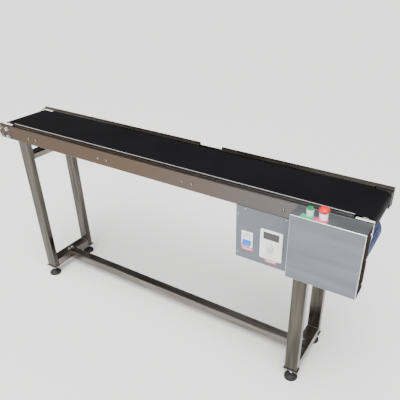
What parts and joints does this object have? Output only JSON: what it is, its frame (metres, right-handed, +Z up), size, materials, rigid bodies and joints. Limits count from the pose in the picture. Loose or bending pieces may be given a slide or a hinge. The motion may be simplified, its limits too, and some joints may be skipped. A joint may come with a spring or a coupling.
{
  "type": "belt conveyor section",
  "caption": "Narrow flat-belt conveyor section on a bolted tube stand, with side drive cover, push buttons, control box and levelling feet.",
  "frame": {"origin": "centre of the bounding box footprint, on the floor", "axes": "+X from the tail end to the drive end along the belt, +Y from the drive-cover side to the far side, +Z up"},
  "size_m": [1.6324, 0.3285, 0.7868],
  "materials": {
    "stainless_sheet": "satin stainless sheet",
    "stainless_tube": "polished stainless tube",
    "zinc_steel": "bright zinc-plated steel",
    "ground_steel": "ground steel shaft",
    "belt_pvc": "matt black PVC belt",
    "drive_belt_rubber": "black drive belt",
    "white_nylon": "white nylon",
    "bearing_steel": "polished bearing steel",
    "aluminium_pulley": "turned aluminium",
    "cover_satin": "satin steel cover",
    "motor_blue": "navy enamel",
    "gearhead_grey": "die-cast aluminium",
    "motor_core": "laminated steel core",
    "black_rubber": "black moulded rubber",
    "control_grey": "bluish grey enamel",
    "white_plastic": "white moulded plastic",
    "blue_plastic": "blue moulded plastic",
    "display_black": "dark display window",
    "knob_grey": "light grey knob",
    "green_plastic": "green button",
    "red_plastic": "red button",
    "label_green": "green label",
    "label_pink": "pink label",
    "black_plastic": "black contact block"
  },
  "bodies": {
    "conveyor_frame": {"near_side_frame": "stainless_sheet", "far_side_frame": "stainless_sheet", "far_guard_strips": "stainless_sheet", "takeup_end_plates": "stainless_sheet", "slider_bed": "stainless_sheet", "cross_members": "stainless_tube", "cross_member_bolts": "zinc_steel", "conveyor_belt": "belt_pvc", "takeup_nuts": "zinc_steel", "drive_bearing_blocks": "white_nylon", "drive_bearings": "bearing_steel", "stand_legs": "stainless_tube", "upper_crossbars": "stainless_tube", "lower_crossbars": "stainless_tube", "stretcher": "stainless_tube", "stretcher_bolts": "zinc_steel", "leg_end_plates": "stainless_sheet", "foot_lock_nuts": "zinc_steel", "motor_mount_plate": "stainless_sheet", "drive_cover": "cover_satin", "cover_screws": "zinc_steel", "drive_belt": "drive_belt_rubber", "gearhead_housing": "gearhead_grey", "motor_bolts": "zinc_steel", "motor_housing": "motor_blue", "motor_stator": "motor_core", "motor_fan_cover": "motor_blue", "motor_terminal_box": "black_plastic", "control_box_body": "control_grey", "control_box_front": "control_grey", "control_box_screws": "zinc_steel", "breaker_body": "white_plastic", "controller_body": "white_plastic", "controller_window": "display_black", "cable_gland": "black_plastic", "start_button_collar": "white_plastic", "stop_button_collar": "white_plastic", "contact_blocks": "black_plastic", "button_labels": "label_green", "box_label_plates": "label_pink"},
    "takeup_carriage": {"takeup_blocks": "white_nylon", "tail_roller_shaft": "ground_steel", "takeup_clamp_bolts": "zinc_steel", "takeup_rods": "zinc_steel"},
    "tail_roller": {"tail_roller_shell": "ground_steel"},
    "drive_roller": {"drive_roller_shell": "ground_steel", "drive_roller_shaft": "ground_steel", "roller_pulley": "aluminium_pulley"},
    "motor_output": {"gearhead_output_shaft": "ground_steel", "motor_pulley": "aluminium_pulley"},
    "rotor": {"motor_rotor": "motor_core"},
    "start_button": {"start_button_cap": "green_plastic"},
    "stop_plunger": {"stop_button_stem": "red_plastic"},
    "stop_head": {"stop_button_head": "red_plastic"},
    "breaker_lever": {"breaker_toggle": "blue_plastic"},
    "speed_dial": {"speed_knob": "knob_grey"},
    "tail_near_levelling": {"tail_near_foot": "black_rubber"},
    "tail_far_levelling": {"tail_far_foot": "black_rubber"},
    "drive_near_levelling": {"drive_near_foot": "black_rubber"},
    "drive_far_levelling": {"drive_far_foot": "black_rubber"}
  },
  "joints": [
    {"name": "drive_roller_spin", "type": "hinge", "parent": "conveyor_frame", "child": "drive_roller", "pos_m": [0.7838, 0.02775, 0.7227], "axis": [0, 1, 0], "continuous": true},
    {"name": "takeup_slide", "type": "slide", "parent": "conveyor_frame", "child": "takeup_carriage", "axis": [1, 0, 0], "range_m": [0, 0.008]},
    {"name": "tail_roller_spin", "type": "hinge", "parent": "takeup_carriage", "child": "tail_roller", "pos_m": [-0.7522, 0.02775, 0.7227], "axis": [0, 1, 0], "continuous": true},
    {"name": "motor_output_spin", "type": "hinge", "parent": "conveyor_frame", "child": "motor_output", "pos_m": [0.7458, -0.09725, 0.6149], "axis": [0, 1, 0], "continuous": true},
    {"name": "rotor_spin", "type": "hinge", "parent": "conveyor_frame", "child": "rotor", "pos_m": [0.7458, 0.00275, 0.6149], "axis": [0, 1, 0], "continuous": true},
    {"name": "start_button_press", "type": "slide", "parent": "conveyor_frame", "child": "start_button", "axis": [0, 0, -1], "range_m": [0, 0.004], "stiffness_N_per_m": 1200},
    {"name": "stop_button_press", "type": "slide", "parent": "conveyor_frame", "child": "stop_plunger", "axis": [0, 0, -1], "range_m": [0, 0.005]},
    {"name": "stop_button_twist", "type": "hinge", "parent": "stop_plunger", "child": "stop_head", "pos_m": [0.6808, -0.13725, 0.781], "axis": [0, 0, -1], "range_deg": [0, 45], "stiffness_Nm_per_rad": 0.2},
    {"name": "breaker_lever_throw", "type": "hinge", "parent": "conveyor_frame", "child": "breaker_lever", "pos_m": [0.4194, -0.09725, 0.5616], "axis": [-1, 0, 0], "range_deg": [0, 70]},
    {"name": "speed_dial_turn", "type": "hinge", "parent": "conveyor_frame", "child": "speed_dial", "pos_m": [0.5084, -0.10925, 0.5666], "axis": [0, 1, 0], "range_deg": [-150, 150]},
    {"name": "tail_near_foot_level", "type": "slide", "parent": "conveyor_frame", "child": "tail_near_levelling", "axis": [0, 0, 1], "range_m": [-0.02, 0.01]},
    {"name": "tail_far_foot_level", "type": "slide", "parent": "conveyor_frame", "child": "tail_far_levelling", "axis": [0, 0, 1], "range_m": [-0.02, 0.01]},
    {"name": "drive_near_foot_level", "type": "slide", "parent": "conveyor_frame", "child": "drive_near_levelling", "axis": [0, 0, 1], "range_m": [-0.02, 0.01]},
    {"name": "drive_far_foot_level", "type": "slide", "parent": "conveyor_frame", "child": "drive_far_levelling", "axis": [0, 0, 1], "range_m": [-0.02, 0.01]}
  ],
  "couplings": [
    {"joint": "tail_roller_spin", "follows": "drive_roller_spin", "ratio": 1},
    {"joint": "motor_output_spin", "follows": "drive_roller_spin", "ratio": 1.25},
    {"joint": "rotor_spin", "follows": "drive_roller_spin", "ratio": 6.25}
  ]
}
